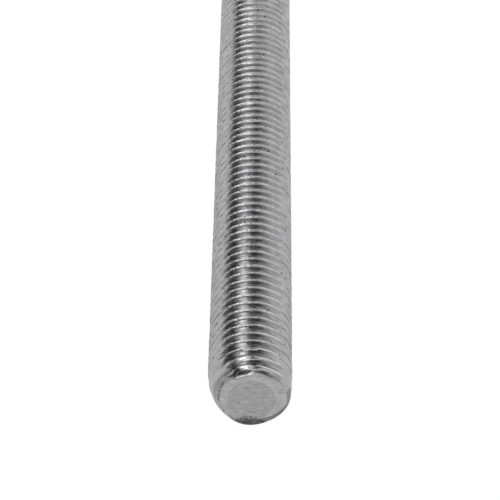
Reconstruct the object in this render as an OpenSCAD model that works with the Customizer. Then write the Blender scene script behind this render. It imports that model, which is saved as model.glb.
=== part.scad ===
// Metric threaded rod: one length of round steel bar with a rolled right-hand thread
// from end to end, sawn off square and chamfered at both ends.
// The rod lies along +Y. The origin is the centre of the near end face.

/* [Thread] */
// Major diameter, over the crests
major_d = 12; // [10:0.5:16]
// Pitch: how far the single start advances in one turn
pitch = 1.75; // [1.5:0.05:2.5]
// Angle round the rod at which a crest runs out through the near end face
start_angle = 99; // [0:1:359]

/* [Rod] */
// Length from end face to end face
rod_length = 150; // [60:5:200]

/* [Ends] */
// Diameter of the sawn face that the chamfer leaves
end_face_d = 6.9; // [5:0.1:8]
// Slope of the chamfer, measured from the end face
chamfer_angle = 31; // [20:1:50]
// How far the crests fall short where they meet the chamfer
lead_drop = 0.6; // [0.2:0.05:0.8]
// Turns over which the crests rise from there to full height
lead_turns = 2.5; // [1:0.5:4]
// How far each chamfer was cut off the rod's axis
chamfer_offset = 0.35; // [0:0.05:0.4]

/* [Hidden] */

// ISO metric profile: depth and crest land follow the pitch
thread_depth = 0.6134 * pitch;
crest_land = pitch / 8;
crest_r = major_d / 2;
root_r = crest_r - thread_depth;

// The helix runs past both end faces, and the end trims cut it to length
overrun_turns = 2;
turns = ceil(rod_length / pitch) + overrun_turns + 2;
trim_reach = (overrun_turns + 2) * pitch;

// The flats round each turn share a fixed number of triangles
TRIANGLES = 12000;
facets = min(32, floor(TRIANGLES / (6 * turns)));
steps = turns * facets;

// One flat of every turn faces straight down, so that the rod lies on a row of flats
first_angle = 90 + 180 / facets;

// A point of the helix: its step, its radius, and its distance along the axis from
// the crest's middle
function helix_point(step, r, dz) =
  let (a = first_angle + 360 * step / facets)
  [r * cos(a), r * sin(a), pitch * ((a - start_angle) / 360 - overrun_turns) + dz];

// Two triangles between a pair of points and the next step's pair
function strip(a, b, next_a, next_b) = [[a, b, next_a], [next_a, b, next_b]];

// One coil of V-shaped ridge with a flat crest, closed into a solid bar
module helical_thread() {
  roots = [for (i = [0 : steps + facets]) helix_point(i, root_r, -pitch / 2)];
  near_edges = [for (i = [0 : steps]) helix_point(i, crest_r, -crest_land / 2)];
  far_edges = [for (i = [0 : steps]) helix_point(i, crest_r, crest_land / 2)];
  centres = [[0, 0, roots[0].z], [0, 0, roots[steps + facets].z]];
  near = len(roots);
  far = near + len(near_edges);
  first_centre = far + len(far_edges);
  last_centre = first_centre + 1;
  flanks_and_lands = [
    for (i = [0 : steps - 1])
      each concat(
        strip(i, near + i, i + 1, near + i + 1),
        strip(near + i, far + i, near + i + 1, far + i + 1),
        strip(far + i, i + facets, far + i + 1, i + facets + 1)
      )
  ];
  first_end = [for (i = [0 : facets - 1]) [first_centre, i, i + 1]];
  last_end = [for (i = [steps : steps + facets - 1]) [last_centre, i + 1, i]];
  step_faces = [
    [first_centre, facets, far, near, 0],
    [last_centre, steps, near + steps, far + steps, steps + facets]
  ];
  polyhedron(
    points = concat(roots, near_edges, far_edges, centres),
    faces = concat(flanks_and_lands, first_end, last_end, step_faces),
    convexity = 10
  );
}

// What is cut away at an end: everything past the face, outside the chamfer's cone,
// and outside the slow cone that the crests rise along
module end_trim() {
  face_r = end_face_d / 2;
  lead_r = crest_r - lead_drop;
  chamfer_depth = (lead_r - face_r) * tan(chamfer_angle);
  lead_slope = lead_turns * pitch / lead_drop;
  clear_r = crest_r + 0.5;
  clear_depth = chamfer_depth + (clear_r - lead_r) * lead_slope;
  translate([chamfer_offset, 0, 0])
  rotate_extrude($fn = 96)
  difference() {
    translate([0, -trim_reach])
    square([clear_r, trim_reach + clear_depth]);
    polygon([
      [0, 0],
      [face_r, 0],
      [lead_r, chamfer_depth],
      [clear_r, clear_depth],
      [clear_r, 2 * clear_depth],
      [0, 2 * clear_depth]
    ]);
  }
}

module threaded_rod() {
  color([0.72, 0.72, 0.73])
  rotate([-90, 0, 0])
  difference() {
    helical_thread();
    end_trim();
    translate([0, 0, rod_length]) mirror([0, 0, 1]) end_trim();
  }
}

threaded_rod();
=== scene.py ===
from math import cos, hypot, pi, radians, sin

import bmesh
import bpy
from mathutils import Matrix, Vector, noise


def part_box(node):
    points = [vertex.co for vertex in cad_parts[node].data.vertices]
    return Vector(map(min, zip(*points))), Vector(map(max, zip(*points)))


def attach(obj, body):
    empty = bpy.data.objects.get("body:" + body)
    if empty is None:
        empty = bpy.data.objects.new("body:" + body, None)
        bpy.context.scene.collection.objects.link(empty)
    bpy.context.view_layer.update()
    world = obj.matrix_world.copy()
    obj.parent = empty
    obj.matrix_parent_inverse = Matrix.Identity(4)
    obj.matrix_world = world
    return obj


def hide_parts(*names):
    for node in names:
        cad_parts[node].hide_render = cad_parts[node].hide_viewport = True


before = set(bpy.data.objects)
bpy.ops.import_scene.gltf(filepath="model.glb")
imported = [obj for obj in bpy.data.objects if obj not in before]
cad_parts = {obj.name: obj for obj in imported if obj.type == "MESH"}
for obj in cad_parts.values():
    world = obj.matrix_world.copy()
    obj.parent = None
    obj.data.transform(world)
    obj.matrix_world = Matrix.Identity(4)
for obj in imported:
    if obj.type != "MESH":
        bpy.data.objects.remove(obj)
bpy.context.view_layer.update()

# The rod: one length of low-carbon steel bar. Its thread is rolled between two dies,
# so the roots are round, the crests are narrow lands and the metal is burnished along
# the helix. It is sawn off square, chamfered and bright zinc-plated.

MM = 0.001
rod_low, rod_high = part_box("threaded_rod")
rod_length = rod_high.y - rod_low.y
crest_r = (rod_high.x - rod_low.x) / 2
pitch = 1.75 * MM
thread_depth = 0.6134 * pitch
root_r = crest_r - thread_depth
crest_land = pitch / 8
root_land = pitch / 6
crest_round = 0.025 * MM
root_round = 0.14 * MM
start_turn = radians(189)
flats_per_turn = 52
flank_crown = 0.014 * MM
overrun_turns = 2


def rolled_profile():
    """One pitch of the thread as a wire in the YZ plane, from root to root."""
    bm = bmesh.new()
    corners = [
        (-pitch / 2, root_r),
        (-pitch / 2 + root_land / 2, root_r),
        (-crest_land / 2, crest_r),
        (crest_land / 2, crest_r),
        (pitch / 2 - root_land / 2, root_r),
        (pitch / 2, root_r),
    ]
    wire = [bm.verts.new((0, y, z)) for y, z in corners]
    for pair in zip(wire, wire[1:]):
        bm.edges.new(pair)
    for at_r, rounding in ((crest_r, crest_round), (root_r, root_round)):
        corner = [v for v in bm.verts if abs(v.co.z - at_r) < 0.001 * MM and len(v.link_edges) == 2]
        bmesh.ops.bevel(
            bm, geom=corner, offset=rounding, segments=2, profile=0.5, affect="VERTICES", material=-1
        )
    flanks = [e for e in bm.edges if e.calc_length() > 0.5 * MM]
    made = bmesh.ops.subdivide_edges(bm, edges=flanks, cuts=2)["geom_inner"]
    for v in made:
        if isinstance(v, bmesh.types.BMVert):
            height = (v.co.z - root_r) / (crest_r - root_r)
            v.co.z += flank_crown * (1 - (2 * height - 1) ** 2)
    return bm


def rolled_thread():
    """One right-hand turn about +Y, laid end to end until it runs past both end faces."""
    bm = rolled_profile()
    to_start = Matrix.Rotation(start_turn, 4, "Y") @ Matrix.Translation((0, -overrun_turns * pitch, 0))
    bmesh.ops.transform(bm, matrix=to_start, verts=bm.verts)
    bmesh.ops.spin(
        bm,
        geom=bm.verts[:] + bm.edges[:],
        cent=(0, 0, 0),
        axis=(0, 1, 0),
        dvec=(0, pitch / flats_per_turn, 0),
        angle=2 * pi,
        steps=flats_per_turn,
    )
    turns = 1
    while turns < rod_length / pitch + 2 * overrun_turns:
        copied = bmesh.ops.duplicate(bm, geom=bm.verts[:] + bm.edges[:] + bm.faces[:])["geom"]
        moved = [v for v in copied if isinstance(v, bmesh.types.BMVert)]
        bmesh.ops.translate(bm, verts=moved, vec=(0, turns * pitch, 0))
        turns *= 2
    bmesh.ops.remove_doubles(bm, verts=bm.verts, dist=0.002 * MM)
    for y, outward in ((-pitch / 2, -1), (rod_length + pitch / 2, 1)):
        cut = bmesh.ops.bisect_plane(
            bm,
            geom=bm.verts[:] + bm.edges[:] + bm.faces[:],
            dist=0.0005 * MM,
            plane_co=(0, y, 0),
            plane_no=(0, outward, 0),
            clear_outer=True,
        )
        rim = [e for e in cut["geom_cut"] if isinstance(e, bmesh.types.BMEdge)]
        bmesh.ops.holes_fill(bm, edges=rim, sides=0)
    return bm


# Depth below the end face, half width, half height, and how far off the rod's axis
# sideways and upwards: the bar was chamfered before it was rolled, so the first turns
# of the thread are not full.
lead_rings = [
    (0.42, 5.0, 4.89, 0.48, 0.32),
    (0.85, 5.16, 5.23, 0.49, 0.2),
    (1.3, 5.35, 5.43, 0.42, 0.08),
    (1.9, 5.55, 5.64, 0.34, -0.03),
    (2.8, 5.77, 5.82, 0.14, -0.09),
    (4.3, 5.91, 5.94, 0.04, -0.01),
    (6, 6, 6, 0, 0),
]
lead_depth = 6 * MM
lead_share = 0.36
# Between the end face and the first turn the bar keeps more than its root diameter.
unrolled_rise = 0.35 * MM
unrolled_depth = 0.9 * MM


def lead_reach(depth, turned_x, turned_z):
    """How far the crests reach, in millimetres, at a depth and in a direction."""
    ring = lead_rings[0]
    for before, after in zip(lead_rings, lead_rings[1:]):
        share = min(1, max(0, (depth - before[0]) / (after[0] - before[0])))
        if share:
            ring = [low + share * (high - low) for low, high in zip(before, after)]
    wide, high, side, lift = ring[1:]
    slope = (turned_x / wide) ** 2 + (turned_z / high) ** 2
    lean = turned_x * side / wide**2 + turned_z * lift / high**2
    left = (side / wide) ** 2 + (lift / high) ** 2 - 1
    return (lean + (lean**2 - slope * left) ** 0.5) / slope


worn_fullness = 0.8
crest_wander = 0.035 * MM
crest_knock = 0.09 * MM
knock_size = 1.1 * MM
burr_drop = 0.32 * MM
burr_width = 3.8 * MM
burr_middle = -0.8 * MM
burr_depths = (0.4 * MM, 2.5 * MM)


def worn_thread():
    """The thread with low first turns, small knocks along the crests and a hanging burr."""
    bm = rolled_thread()
    for v in bm.verts:
        far = v.co.y > rod_length / 2
        depth = rod_length - v.co.y if far else v.co.y
        out = hypot(v.co.x, v.co.z)
        fullness = (out - root_r) / (crest_r - root_r)
        if fullness > worn_fullness:
            spot = v.co / knock_size
            v.co.y += crest_wander * noise.noise(spot)
            out -= crest_knock * max(0, noise.noise(spot + Vector((31, 7, 19))) - 0.1)
        if depth < lead_depth:
            turned_x = v.co.x / hypot(v.co.x, v.co.z)
            turned_z = v.co.z / hypot(v.co.x, v.co.z)
            reach = MM * lead_reach(depth / MM, -turned_x if far else turned_x, turned_z)
            rolled_low = out - lead_share * max(0, crest_r - reach)
            out = min(max(rolled_low, min(out, root_r)), reach)
            out = max(out, min(reach, root_r + unrolled_rise * (1 - depth / unrolled_depth)))
        shrink = out / hypot(v.co.x, v.co.z)
        v.co.x *= shrink
        v.co.z *= shrink
        off_burr = (v.co.x + burr_middle if far else v.co.x - burr_middle) / burr_width
        if burr_depths[0] < depth < burr_depths[1] and v.co.z < 0 and abs(off_burr) < 1:
            v.co.z -= burr_drop * (1 - off_burr**2) ** 2
    bmesh.ops.recalc_face_normals(bm, faces=bm.faces)
    return bm


# The same five sizes: the sawn face and the hand-ground bevel, then open space.
cut_rings = [
    (0, 3.25, 3.25, 0.25, 0.05),
    (0.06, 4.75, 4.0, 0.5, 0.55),
    (0.33, 4.8, 4.76, 0.5, 0.3),
    (0.42, 5.0, 4.89, 0.48, 0.32),
    (0.7, 5.35, 5.35, 0.4, 0.2),
    (1.8, 6.7, 6.7, 0, 0),
]
# The flat leans back from the face: how deep it starts, and how much it takes with depth.
filed_side = Vector((-0.31, 0, 0.951))
filed_depth = 0.5 * MM
filed_off = 0.06 * MM
filed_slope = 0.3


def turned_blank():
    """The bar that the ends are cut to: a closed stack of rings from face to face.

    A file has taken the burr off the upper side of both ends and left a small flat.
    """
    bm = bmesh.new()
    near = [(depth * MM, wide, high, side, lift) for depth, wide, high, side, lift in cut_rings]
    far = [(rod_length - y, wide, high, -side, lift) for y, wide, high, side, lift in reversed(near)]
    previous = []
    last = len(near + far) - 1
    for n, (y, wide, high, side, lift) in enumerate(near + far):
        place = (
            Matrix.Translation((side * MM, y, lift * MM))
            @ Matrix.Diagonal((wide * MM, 1, high * MM, 1))
            @ Matrix.Rotation(radians(90), 4, "X")
        )
        made = bmesh.ops.create_circle(bm, cap_ends=n in (0, last), segments=144, radius=1, matrix=place)
        depth = min(y, rod_length - y)
        if 0 < depth < filed_depth:
            reach = max(v.co.dot(filed_side) for v in made["verts"])
            reach -= filed_off + filed_slope * depth
            for v in made["verts"]:
                v.co -= filed_side * max(0, v.co.dot(filed_side) - reach)
        loop = list({e for v in made["verts"] for e in v.link_edges})
        if previous:
            wall = bmesh.ops.bridge_loops(bm, edges=previous + loop)["faces"]
            for face in wall:
                face.material_index = 0 if n in (1, last) else 1
        previous = loop
    bmesh.ops.recalc_face_normals(bm, faces=bm.faces)
    return bm


def new_piece(bm, name, *materials):
    mesh = bpy.data.meshes.new(name)
    bm.to_mesh(mesh)
    bm.free()
    for material in materials:
        mesh.materials.append(material)
    piece = bpy.data.objects.new(name, mesh)
    bpy.context.scene.collection.objects.link(piece)
    return piece


def new_node(tree, kind, inputs=None, **settings):
    """One node, with its settings and with each input linked or given a value."""
    node = tree.nodes.new("ShaderNode" + kind)
    for setting, value in settings.items():
        setattr(node, setting, value)
    for socket, value in (inputs or {}).items():
        if isinstance(value, bpy.types.NodeSocket):
            tree.links.new(value, node.inputs[socket])
        else:
            node.inputs[socket].default_value = value
    return node


def step(tree, value, low, high, to_low=0.0, to_high=1.0):
    """Soft change from one level to another as a value passes from low to high."""
    ends = {"Value": value, "From Min": low, "From Max": high, "To Min": to_low, "To Max": to_high}
    return new_node(tree, "MapRange", ends, interpolation_type="SMOOTHSTEP").outputs["Result"]


def maths(tree, operation, *values):
    return new_node(tree, "Math", dict(enumerate(values)), operation=operation).outputs[0]


def vector_maths(tree, operation, *values):
    """The outcome of a vector operation: a number for a distance, a length or a dot product."""
    node = new_node(tree, "VectorMath", dict(enumerate(values)), operation=operation)
    number = operation in ("DISTANCE", "LENGTH", "DOT_PRODUCT")
    return node.outputs["Value" if number else "Vector"]


def toned(tree, tone, mask, change):
    """The tone, with the share given by change added to it wherever the mask is 1."""
    return maths(tree, "MULTIPLY", tone, maths(tree, "MULTIPLY_ADD", mask, change, 1.0))


def grain(tree, place, scale, detail=2.0, roughness=0.5):
    """Cloudy noise round 0.5, with the scale in lumps per unit of the place."""
    settings = {"Vector": place, "Scale": scale, "Detail": detail, "Roughness": roughness}
    return new_node(tree, "TexNoise", settings).outputs["Fac"]


def new_group(name, *outputs):
    group = bpy.data.node_groups.new(name, "ShaderNodeTree")
    for output in outputs:
        kind = "NodeSocketVector" if output.endswith("Place") else "NodeSocketFloat"
        group.interface.new_socket(output, in_out="OUTPUT", socket_type=kind)
    return group, group.nodes.new("NodeGroupOutput")


# Every place on the rod in millimetres: straight, and unrolled along the thread.
place_group, place_out = new_group("rod_place", "Place", "Thread Place", "Radius", "Depth", "Height")
object_place = new_node(place_group, "TexCoord").outputs["Object"]
in_mm = new_node(place_group, "VectorMath", {0: object_place, "Scale": 1 / MM}, operation="SCALE").outputs[0]
parts = new_node(place_group, "SeparateXYZ", {0: in_mm}).outputs
across = new_node(place_group, "CombineXYZ", {"X": parts["X"], "Z": parts["Z"]}).outputs[0]
radius = vector_maths(place_group, "LENGTH", across)
round_turn = maths(place_group, "ARCTAN2", parts["X"], parts["Z"])
phase = maths(place_group, "MULTIPLY_ADD", round_turn, -pitch / MM / (2 * pi), parts["Y"])
arc = maths(place_group, "MULTIPLY", round_turn, crest_r / MM)
unrolled = new_node(place_group, "CombineXYZ", {"X": radius, "Y": phase, "Z": arc}).outputs[0]
far_depth = maths(place_group, "SUBTRACT", rod_length / MM, parts["Y"])
for name, socket in (
    ("Place", in_mm),
    ("Thread Place", unrolled),
    ("Radius", radius),
    ("Depth", maths(place_group, "MINIMUM", parts["Y"], far_depth)),
    ("Height", parts["Z"]),
):
    place_group.links.new(socket, place_out.inputs[name])


def rod_place(tree):
    return new_node(tree, "Group", node_tree=place_group).outputs


# What handling leaves on it: dark specks of oil and dirt, and small dents.
dirt_group, dirt_out = new_group("handling", "Specks", "Dents", "Crumbs", "Burr")
where = rod_place(dirt_group)
cells = {"Vector": where["Thread Place"], "Scale": 1.1}
speck = new_node(dirt_group, "TexVoronoi", cells)
chance = new_node(dirt_group, "SeparateColor", {0: speck.outputs["Color"]}).outputs
size = step(dirt_group, chance["Red"], 0.6, 1.0, 0.0, 0.24)
ragged = maths(dirt_group, "MULTIPLY_ADD", grain(dirt_group, where["Place"], 5.0), 0.2, -0.1)
edge = maths(dirt_group, "ADD", speck.outputs["Distance"], ragged)
inside = maths(dirt_group, "SUBTRACT", size, edge)
dirt_group.links.new(step(dirt_group, inside, -0.02, 0.05), dirt_out.inputs["Specks"])
dents = step(dirt_group, grain(dirt_group, where["Place"], 1.1, 3.0, 0.6), 0.62, 0.75)
dirt_group.links.new(dents, dirt_out.inputs["Dents"])
crosswise = vector_maths(dirt_group, "MULTIPLY", where["Place"], (1, 0, 1))
off_burr = vector_maths(dirt_group, "DISTANCE", crosswise, (-0.15, 0, -5.6))
near_face = step(dirt_group, where["Depth"], 1.0, 0.6)
burr = maths(dirt_group, "MULTIPLY", step(dirt_group, off_burr, 2.9, 2.55), near_face)
crumbs = step(dirt_group, grain(dirt_group, where["Place"], 3.5, 2.0), 0.42, 0.64)
dirt_group.links.new(burr, dirt_out.inputs["Burr"])
crumbled = maths(dirt_group, "MULTIPLY", burr, maths(dirt_group, "MULTIPLY_ADD", crumbs, 0.8, -0.6))
dirt_group.links.new(crumbled, dirt_out.inputs["Crumbs"])


def handling(tree):
    return new_node(tree, "Group", node_tree=dirt_group).outputs


def new_metal(name):
    material = bpy.data.materials.new(name)
    material.use_nodes = True
    shader = material.node_tree.nodes["Principled BSDF"]
    shader.inputs["Metallic"].default_value = 1
    return material, material.node_tree, shader


def tinted(tree, tone):
    """Neutral metal, very slightly blue as zinc is, at the given tone."""
    factors = {"Red": tone, "Green": tone, "Blue": maths(tree, "MULTIPLY", tone, 1.015)}
    return new_node(tree, "CombineColor", factors).outputs[0]


def bright_zinc():
    """Zinc a few thousandths thick: burnished crests, cloudy flanks, painted shade in the roots, on the
    crests of the lower sides and low on the right near the ends, and a painted highlight on the top crests.
    """
    material, tree, shader = new_metal("zinc_plated_steel")
    where, marks = rod_place(tree), handling(tree)
    cloud = grain(tree, where["Place"], 0.55, 4.0, 0.55)
    tone = step(tree, cloud, 0.25, 0.75, 0.56, 0.7)
    drawn_out = vector_maths(tree, "MULTIPLY", where["Thread Place"], (7, 7, 0.5))
    rolled = grain(tree, drawn_out, 1.0, 3.0, 0.6)
    tone = maths(tree, "MULTIPLY", tone, step(tree, rolled, 0.3, 0.7, 0.93, 1.05))
    # Painted shade: the thread roots are made 30% darker, standing in for the shade that falls between the
    # crests.
    painted_root_shade = step(tree, where["Radius"], root_r / MM + 0.35, root_r / MM + 0.05)
    tone = toned(tree, tone, painted_root_shade, -0.3)
    tone = toned(tree, tone, marks["Specks"], -0.75)
    crest = step(tree, where["Radius"], crest_r / MM - 0.12, crest_r / MM - 0.03)
    along = vector_maths(tree, "MULTIPLY", where["Thread Place"], (0, 0.9, 1))
    # Painted shade: broken dark lines on the crests of the lower sides, standing in for the shaded bench
    # that they mirror.
    painted_crest_shade = step(tree, grain(tree, along, 0.8, 3.0, 0.6), 0.42, 0.58)
    low_side = step(tree, where["Height"], 4.6, 3.6)
    painted_crest_shade = maths(tree, "MULTIPLY", maths(tree, "MULTIPLY", painted_crest_shade, crest), low_side)
    # Painted highlight: the crests along the top of the rod are made 5% lighter.
    painted_top_highlight = maths(tree, "MULTIPLY", crest, step(tree, where["Height"], 5.0, 5.7))
    tone = toned(tree, tone, painted_top_highlight, 0.05)
    tone = toned(tree, tone, painted_crest_shade, -0.6)
    # Painted shade: near each end the lower and right side is made half as bright, standing in for the rod's
    # shadow on the bench that it mirrors.
    low_right = vector_maths(tree, "DOT_PRODUCT", where["Place"], (0.6, 0, -0.8))
    painted_lower_right_shade = step(tree, low_right, 1.6, 2.6)
    painted_lower_right_shade = maths(tree, "MULTIPLY", painted_lower_right_shade, step(tree, where["Depth"], 2.0, 1.2))
    tone = toned(tree, tone, painted_lower_right_shade, -0.5)
    at_edge = maths(tree, "ABSOLUTE", maths(tree, "SUBTRACT", where["Depth"], 0.4))
    dotted = step(tree, grain(tree, where["Place"], 1.9, 3.0), 0.47, 0.56)
    dotted = maths(tree, "MULTIPLY", dotted, step(tree, at_edge, 0.2, 0.08))
    tone = toned(tree, tone, dotted, -0.55)
    tone = maths(tree, "MULTIPLY", tone, maths(tree, "ADD", marks["Crumbs"], 1.0))
    rough = step(tree, grain(tree, where["Place"], 1.7, 3.0), 0.3, 0.75, 0.1, 0.2)
    rough = maths(tree, "MULTIPLY_ADD", marks["Burr"], 0.3, rough)
    rough = maths(tree, "MULTIPLY_ADD", crest, -0.05, rough)
    rough = maths(tree, "MULTIPLY_ADD", marks["Specks"], 0.4, rough)
    beads = maths(tree, "MULTIPLY", step(tree, grain(tree, along, 1.1, 2.0, 0.6), 0.35, 0.65), crest)
    fine = maths(tree, "MULTIPLY", grain(tree, where["Place"], 9.0, 2.0), 0.0012)
    lines = maths(tree, "MULTIPLY", rolled, 0.003)
    waves = maths(tree, "MULTIPLY", grain(tree, where["Place"], 1.3, 1.0), 0.012)
    nicks = maths(tree, "MULTIPLY", maths(tree, "MAXIMUM", marks["Specks"], marks["Dents"]), -0.006)
    worn = maths(tree, "MULTIPLY_ADD", beads, -0.06, nicks)
    worn = maths(tree, "MULTIPLY_ADD", marks["Crumbs"], 0.12, worn)
    height = maths(tree, "ADD", maths(tree, "ADD", fine, lines), maths(tree, "ADD", waves, worn))
    bump = new_node(tree, "Bump", {"Height": height, "Distance": MM, "Strength": 1.0})
    tree.links.new(tinted(tree, tone), shader.inputs["Base Color"])
    tree.links.new(rough, shader.inputs["Roughness"])
    tree.links.new(bump.outputs[0], shader.inputs["Normal"])
    return material


def sawn_steel():
    """The cut end: fine saw lines almost level, a turned rim, a crumbled burr at the edge below, and painted
    shade in a thin line along the upper side of the face's edge.
    """
    material, tree, shader = new_metal("sawn_steel")
    where, marks = rod_place(tree), handling(tree)
    along_cut = new_node(
        tree,
        "Mapping",
        {"Vector": where["Place"], "Rotation": (0, radians(5), 0), "Scale": (0.7, 1, 3.2)},
    ).outputs[0]
    cut_lines = grain(tree, along_cut, 1.0, 4.0, 0.65)
    cloud = grain(tree, where["Place"], 0.6, 3.0, 0.6)
    from_middle = vector_maths(tree, "DISTANCE", where["Place"], (0.25, 0, 0.05))
    rim = step(tree, from_middle, 3.2, 3.5)
    tone = step(tree, cut_lines, 0.3, 0.7, 0.37, 0.535)
    tone = maths(tree, "MULTIPLY", tone, step(tree, cloud, 0.3, 0.7, 0.92, 1.04))
    tone = toned(tree, tone, rim, 0.17)
    # Painted shade: a thin dark line round the edge of the sawn face, on its upper side only.
    rim_band = maths(tree, "PINGPONG", maths(tree, "SUBTRACT", from_middle, 3.12), 0.2)
    painted_step_shade = maths(tree, "MULTIPLY", step(tree, rim_band, 0.13, 0.2), step(tree, where["Height"], 0.3, 1.6))
    near_edge = maths(tree, "COMPARE", from_middle, 3.32, 0.2)
    painted_step_shade = maths(tree, "MULTIPLY", painted_step_shade, near_edge)
    tone = toned(tree, tone, painted_step_shade, -0.3)
    tone = toned(tree, tone, marks["Specks"], -0.3)
    tone = maths(tree, "MULTIPLY", tone, maths(tree, "ADD", marks["Crumbs"], 1.0))
    height = maths(tree, "MULTIPLY", cut_lines, maths(tree, "MULTIPLY_ADD", rim, -0.012, 0.02))
    height = maths(tree, "MULTIPLY_ADD", marks["Crumbs"], 0.12, height)
    bump = new_node(tree, "Bump", {"Height": height, "Distance": MM, "Strength": 1.0})
    tree.links.new(tinted(tree, tone), shader.inputs["Base Color"])
    tree.links.new(step(tree, cloud, 0.3, 0.7, 0.42, 0.55), shader.inputs["Roughness"])
    tree.links.new(bump.outputs[0], shader.inputs["Normal"])
    return material


zinc = bright_zinc()
sawn = sawn_steel()
rod = new_piece(worn_thread(), "threaded_rod_rolled", zinc, sawn)
blank = new_piece(turned_blank(), "blank", sawn, zinc)
ends = rod.modifiers.new("ends", "BOOLEAN")
ends.operation = "INTERSECT"
ends.solver = "MANIFOLD"
ends.object = blank
ends.material_mode = "TRANSFER"
cut_mesh = bpy.data.meshes.new_from_object(rod.evaluated_get(bpy.context.evaluated_depsgraph_get()))
rod.modifiers.clear()
rod.data = cut_mesh
bpy.data.objects.remove(blank)
cut_mesh.shade_smooth()
cut_mesh.set_sharp_from_angle(angle=radians(35))
level = rod.modifiers.new("level_flanks", "WEIGHTED_NORMAL")
level.keep_sharp = True
level.weight = 100
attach(rod, "root")
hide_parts("threaded_rod")

# The bench: a plain white sheet that the rod lies on. The camera sees it as pure white, and in the metal's
# reflections it carries a painted glow beside, behind and just before the rod that lifts the shade there.

bench_size = 6
bm = bmesh.new()
under_rod = Matrix.Translation((0, 0, -crest_r))
bmesh.ops.create_grid(bm, x_segments=1, y_segments=1, size=bench_size / 2, matrix=under_rod)
paper = bpy.data.materials.new("white_paper")
paper.use_nodes = True
tree = paper.node_tree
sheet = tree.nodes["Principled BSDF"]
sheet.inputs["Base Color"].default_value = (0.95, 0.95, 0.95, 1)
sheet.inputs["Roughness"].default_value = 0.9
glow = new_node(tree, "Emission", {"Strength": 1.12}).outputs[0]
rays = new_node(tree, "LightPath").outputs
seen = maths(tree, "MULTIPLY", rays["Is Camera Ray"], 0.85)
parts = new_node(tree, "SeparateXYZ", {0: new_node(tree, "TexCoord").outputs["Object"]}).outputs
# Painted light: in reflections only, the sheet glows beside, behind and just before the rod, lifting the
# shade that would fall there.
beside = step(tree, maths(tree, "ABSOLUTE", parts["X"]), 0.022, 0.008, 0.14, 0.55)
behind = step(tree, parts["Y"], 0.008, 0.16, 0.42, 1.5)
before = step(tree, parts["Y"], 0.004, -0.002, 0.0, 0.5)
painted_glow_near_rod = maths(tree, "MULTIPLY", beside, maths(tree, "ADD", behind, before))
lit = maths(tree, "MULTIPLY_ADD", rays["Is Glossy Ray"], painted_glow_near_rod, seen)
mix = new_node(tree, "MixShader", {"Fac": lit, 1: sheet.outputs[0], 2: glow})
tree.links.new(mix.outputs[0], tree.nodes["Material Output"].inputs["Surface"])
bench = new_piece(bm, "bench", paper)

# The studio: soft black cards that give the metal its dark zones, and lamps between them.
# The cards don't show to the camera.


def towards(azimuth, elevation):
    """The direction of a spot round the near end: azimuth 0 is in front, and it turns right."""
    return Vector((sin(azimuth) * cos(elevation), -cos(azimuth) * cos(elevation), sin(elevation)))


def soft_black(name, darkness):
    """Black that is densest in the middle of its card and fades out at the edges."""
    material = bpy.data.materials.new(name)
    material.use_nodes = True
    tree = material.node_tree
    black = tree.nodes["Principled BSDF"]
    black.inputs["Base Color"].default_value = (0.02, 0.02, 0.02, 1)
    black.inputs["Roughness"].default_value = 0.9
    on_card = new_node(tree, "TexCoord").outputs["UV"]
    centred = vector_maths(tree, "MULTIPLY_ADD", on_card, (2, 2, 0), (-1, -1, 0))
    fade = step(tree, vector_maths(tree, "LENGTH", centred), 1.0, 0.3, 0.0, darkness)
    clear = new_node(tree, "BsdfTransparent").outputs[0]
    mix = new_node(tree, "MixShader", {"Fac": fade, 1: clear, 2: black.outputs[0]})
    tree.links.new(mix.outputs[0], tree.nodes["Material Output"].inputs["Surface"])
    return material


def card(name, azimuth, elevation, width, height, darkness, distance=0.28):
    """A soft black card that faces the rod's near end."""
    bm = bmesh.new()
    bm.loops.layers.uv.new("fade")
    out = towards(azimuth, elevation)
    turn = out.to_track_quat("Z", "Y").to_matrix().to_4x4()
    place = Matrix.Translation(out * distance) @ turn @ Matrix.Diagonal((width, height, 1, 1))
    bmesh.ops.create_grid(bm, x_segments=1, y_segments=1, size=0.5, matrix=place, calc_uvs=True)
    piece = new_piece(bm, name, soft_black(name, darkness))
    piece.visible_camera = False


card("left_card", radians(-27.5), radians(9), 0.5, 1.05, 0.98, 0.8)
card("upper_left_card", radians(-38), radians(29), 0.4, 0.35, 0.8, 0.8)
card("right_card", radians(58), radians(8), 0.3, 0.3, 0.3, 0.3)
card("lens_card", radians(11.5), radians(23), 0.19, 0.22, 0.96, 0.28)
card("shade_card", radians(21), radians(18), 0.42, 0.45, 0.6, 0.5)
card("high_card", radians(-6), radians(31.5), 0.4, 0.14, 0.7, 0.4)
card("back_card", radians(176.5), radians(46), 0.2, 0.8, 1.0, 0.9)
card("foot_card", radians(-33), radians(-2), 0.02, 0.015, 1.0, 0.042)
card("left_back_card", radians(-133), radians(13), 0.88, 0.56, 0.9, 1.0)


def top_card(name, tilt, width, length, darkness):
    """The same card hung over the rod, tilted towards +X from straight above."""
    card(name, radians(90), radians(90) - tilt, length, width, darkness)


top_card("top_left_card", radians(-43), 0.19, 0.48, 0.97)
top_card("top_right_card", radians(11), 0.17, 0.48, 0.85)
top_card("far_right_card", radians(38), 0.24, 0.48, 0.25)


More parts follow.
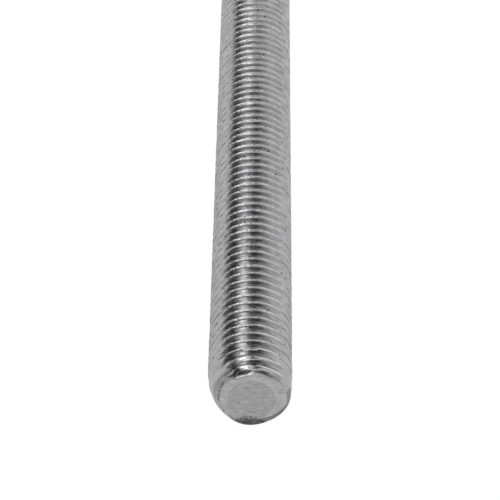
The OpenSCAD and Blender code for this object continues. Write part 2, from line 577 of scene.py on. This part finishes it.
def lamp(name, azimuth, elevation, width, height, power, distance=0.9):
    light = bpy.data.lights.new(name, "AREA")
    light.shape = "RECTANGLE"
    light.size = width
    light.size_y = height
    light.energy = power
    out = towards(azimuth, elevation)
    piece = bpy.data.objects.new(name, light)
    piece.location = out * distance
    piece.rotation_euler = out.to_track_quat("Z", "Y").to_euler()
    bpy.context.scene.collection.objects.link(piece)


lamp("strip_lamp", radians(-5.5), radians(13), 0.17, 0.42, 0.175)
lamp("low_lamp", radians(-11), radians(1), 0.18, 0.16, 0.14)
lamp("front_lamp", radians(-8), radians(45), 0.09, 0.09, 0.021, 0.43)
lamp("top_lamp", radians(-90), radians(72), 0.4, 0.13, 0.145, 0.5)
lamp("back_lamp", radians(-155), radians(28), 0.2, 0.24, 0.225)
lamp("key_lamp", radians(-131), radians(54), 0.5, 0.2, 0.42)
lamp("side_lamp", radians(136), radians(27), 0.5, 0.8, 0.42)

world = bpy.data.worlds.new("studio")
bpy.context.scene.world = world
world.use_nodes = True
tree = world.node_tree
air = tree.nodes["Background"]
air.inputs["Color"].default_value = (1, 1, 1, 1)
air.inputs["Strength"].default_value = 0.65
shown = new_node(tree, "Background", {"Color": (1, 1, 1, 1), "Strength": 1.0}).outputs[0]
rays = new_node(tree, "LightPath").outputs
mix = new_node(tree, "MixShader", {"Fac": rays["Is Camera Ray"], 1: air.outputs[0], 2: shown})
tree.links.new(mix.outputs[0], tree.nodes["World Output"].inputs["Surface"])

# The camera: a long lens above and in front of the near end.
# It is turned by the directions of its right side and of its view.

camera_data = bpy.data.cameras.new("camera")
camera_data.sensor_width = 36
camera_data.lens = 172.8
camera_data.clip_start = 0.01
camera = bpy.data.objects.new("camera", camera_data)
camera.location = (-0.05 * MM, -257.04 * MM, 216.84 * MM)
right = Vector((0.99988948, 0.00937365, 0.01153949))
ahead = Vector((-0.00065396, 0.80316605, -0.59575487))
up = right.cross(ahead)
camera.rotation_euler = Matrix((right, up, -ahead)).transposed().to_euler()
bpy.context.scene.collection.objects.link(camera)
bpy.context.scene.camera = camera
bpy.context.scene.view_settings.view_transform = "Standard"
